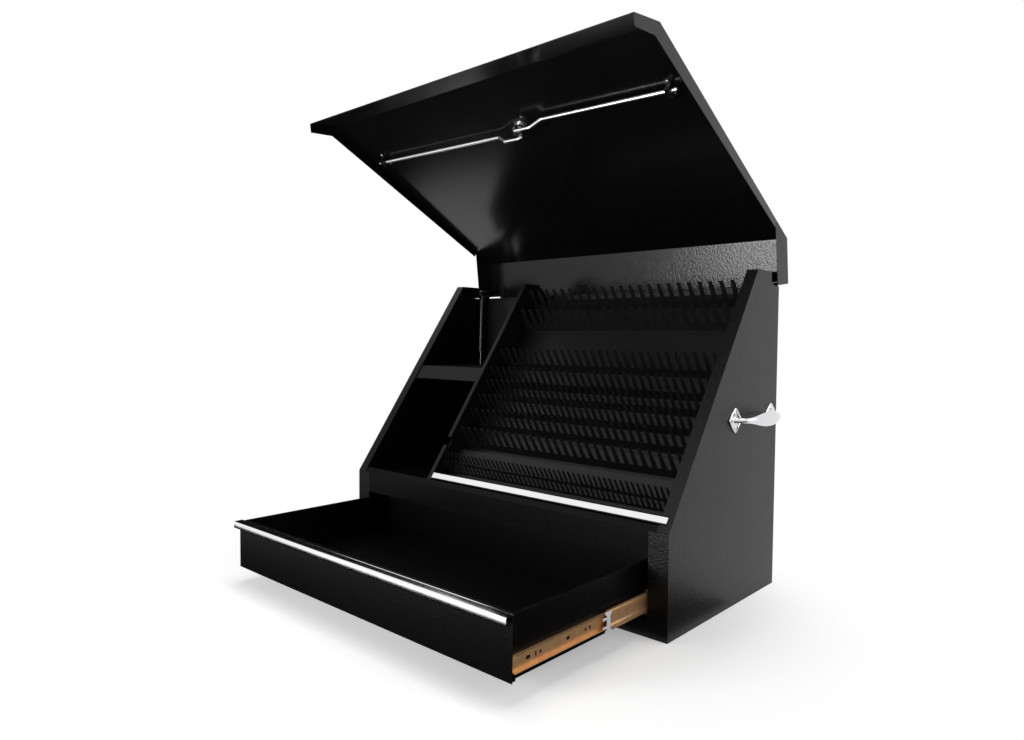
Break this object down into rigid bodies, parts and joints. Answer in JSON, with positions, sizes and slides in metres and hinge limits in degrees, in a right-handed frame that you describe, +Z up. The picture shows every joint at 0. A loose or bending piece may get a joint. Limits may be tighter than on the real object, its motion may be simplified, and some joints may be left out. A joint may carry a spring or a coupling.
{
  "type": "triangle top toolbox",
  "caption": "Sloping-front steel tool chest with a hinged lid, wrench rack, side compartment and a wide drawer on ball-bearing slides.",
  "frame": {"origin": "centre of the body footprint, on the floor", "axes": "+X to the right seen from the front, +Y to the rear, +Z up; the sloping front and the drawer face -Y"},
  "size_m": [0.998, 0.8721, 1.0671],
  "materials": {
    "black_powder": "fine textured satin powder coat",
    "black_steel": "smooth semi-gloss black",
    "bright_aluminium": "brushed and clear anodised",
    "chrome": "polished",
    "zinc_steel": "bright zinc plate"
  },
  "bodies": {
    "cabinet": {"bottom_panel": "black_powder", "compartment_shelf": "black_powder", "deck_panel": "black_powder", "divider": "black_powder", "front_rail": "black_powder", "handle_screws": "chrome", "hinge_body_leaf": "black_steel", "hinge_pin": "zinc_steel", "left_side_handle": "chrome", "left_side_panel": "black_powder", "left_slide_channel": "black_powder", "left_slide_outer": "zinc_steel", "rack_back": "black_powder", "rack_comb_1": "black_powder", "rack_comb_10": "black_powder", "rack_comb_2": "black_powder", "rack_comb_3": "black_powder", "rack_comb_4": "black_powder", "rack_comb_5": "black_powder", "rack_comb_6": "black_powder", "rack_comb_7": "black_powder", "rack_comb_8": "black_powder", "rack_comb_9": "black_powder", "rack_trim": "bright_aluminium", "rear_panel": "black_powder", "right_side_handle": "chrome", "right_side_panel": "black_powder", "right_slide_channel": "black_powder", "right_slide_outer": "zinc_steel", "strut_foot_studs": "zinc_steel"},
    "lid": {"lid_panel": "black_powder", "left_lid_corner": "black_powder", "right_lid_corner": "black_powder", "hinge_lid_leaf": "black_steel", "latch_body": "chrome", "latch_nut": "zinc_steel", "lid_brackets": "black_steel", "rod_guides": "black_steel"},
    "latch": {"tee_handle": "chrome", "latch_cam": "black_steel", "cam_nut": "zinc_steel"},
    "lock": {"lock_core": "chrome"},
    "latch_rod_right": {"right_latch_rod": "chrome"},
    "latch_rod_left": {"left_latch_rod": "chrome"},
    "strut_tube_right": {"right_strut_tube": "black_steel"},
    "strut_tube_left": {"left_strut_tube": "black_steel"},
    "strut_rod_right": {"right_strut_rod": "chrome"},
    "strut_rod_left": {"left_strut_rod": "chrome"},
    "slide_middle_right": {"right_slide_middle": "zinc_steel", "right_slide_stop": "zinc_steel", "right_ball_cages": "zinc_steel"},
    "slide_middle_left": {"left_slide_middle": "zinc_steel", "left_slide_stop": "zinc_steel", "left_ball_cages": "zinc_steel"},
    "drawer": {"drawer_box": "black_powder", "drawer_front": "black_powder", "drawer_pull": "bright_aluminium", "right_slide_inner": "zinc_steel", "left_slide_inner": "zinc_steel"}
  },
  "joints": [
    {"name": "lid_hinge", "type": "hinge", "parent": "cabinet", "child": "lid", "pos_m": [0, 0.2325, 0.653], "axis": [1, 0, 0], "range_deg": [0, 79]},
    {"name": "handle_turn", "type": "hinge", "parent": "lid", "child": "latch", "pos_m": [0.05, -0.17438, 1.00379], "axis": [0, 0.4723, 0.8814], "range_deg": [0, 90]},
    {"name": "key_turn", "type": "hinge", "parent": "latch", "child": "lock", "pos_m": [0.05, -0.17438, 1.00379], "axis": [0, 0.4723, 0.8814], "range_deg": [0, 90]},
    {"name": "rod_right_swing", "type": "hinge", "parent": "latch", "child": "latch_rod_right", "pos_m": [0.05, -0.18496, 1.00946], "axis": [0, 0.4723, 0.8814], "range_deg": [-92.4, 0.5]},
    {"name": "rod_left_swing", "type": "hinge", "parent": "latch", "child": "latch_rod_left", "pos_m": [0.05, -0.16381, 0.99812], "axis": [0, 0.4723, 0.8814], "range_deg": [-92, 0.5]},
    {"name": "strut_right_swing", "type": "hinge", "parent": "lid", "child": "strut_tube_right", "pos_m": [0.444, 0.2105, 0.68], "axis": [1, 0, 0], "range_deg": [-77.35, 0.5]},
    {"name": "strut_right_stroke", "type": "slide", "parent": "strut_tube_right", "child": "strut_rod_right", "axis": [0, -0.022, -0.9998], "range_m": [-0.04398, 0.0005]},
    {"name": "strut_left_swing", "type": "hinge", "parent": "lid", "child": "strut_tube_left", "pos_m": [-0.444, 0.2105, 0.68], "axis": [1, 0, 0], "range_deg": [-77.35, 0.5]},
    {"name": "strut_left_stroke", "type": "slide", "parent": "strut_tube_left", "child": "strut_rod_left", "axis": [0, -0.022, -0.9998], "range_m": [-0.04398, 0.0005]},
    {"name": "drawer_slide", "type": "slide", "parent": "cabinet", "child": "drawer", "axis": [0, -1, 0], "range_m": [-0.3705, 0.03]},
    {"name": "slide_right_middle", "type": "slide", "parent": "cabinet", "child": "slide_middle_right", "axis": [0, -1, 0], "range_m": [-0.1375, 0.0115]},
    {"name": "slide_left_middle", "type": "slide", "parent": "cabinet", "child": "slide_middle_left", "axis": [0, -1, 0], "range_m": [-0.1375, 0.0115]}
  ],
  "couplings": [
    {"joint": "rod_right_swing", "follows": "handle_turn", "ratio": -1.021},
    {"joint": "rod_left_swing", "follows": "handle_turn", "ratio": -1.0165},
    {"joint": "strut_right_swing", "follows": "lid_hinge", "ratio": -0.97281},
    {"joint": "strut_right_stroke", "follows": "lid_hinge", "m_per_rad": -0.031534},
    {"joint": "strut_left_swing", "follows": "lid_hinge", "ratio": -0.97281},
    {"joint": "strut_left_stroke", "follows": "lid_hinge", "m_per_rad": -0.031534},
    {"joint": "slide_right_middle", "follows": "drawer_slide", "ratio": 0.37},
    {"joint": "slide_left_middle", "follows": "drawer_slide", "ratio": 0.37}
  ]
}
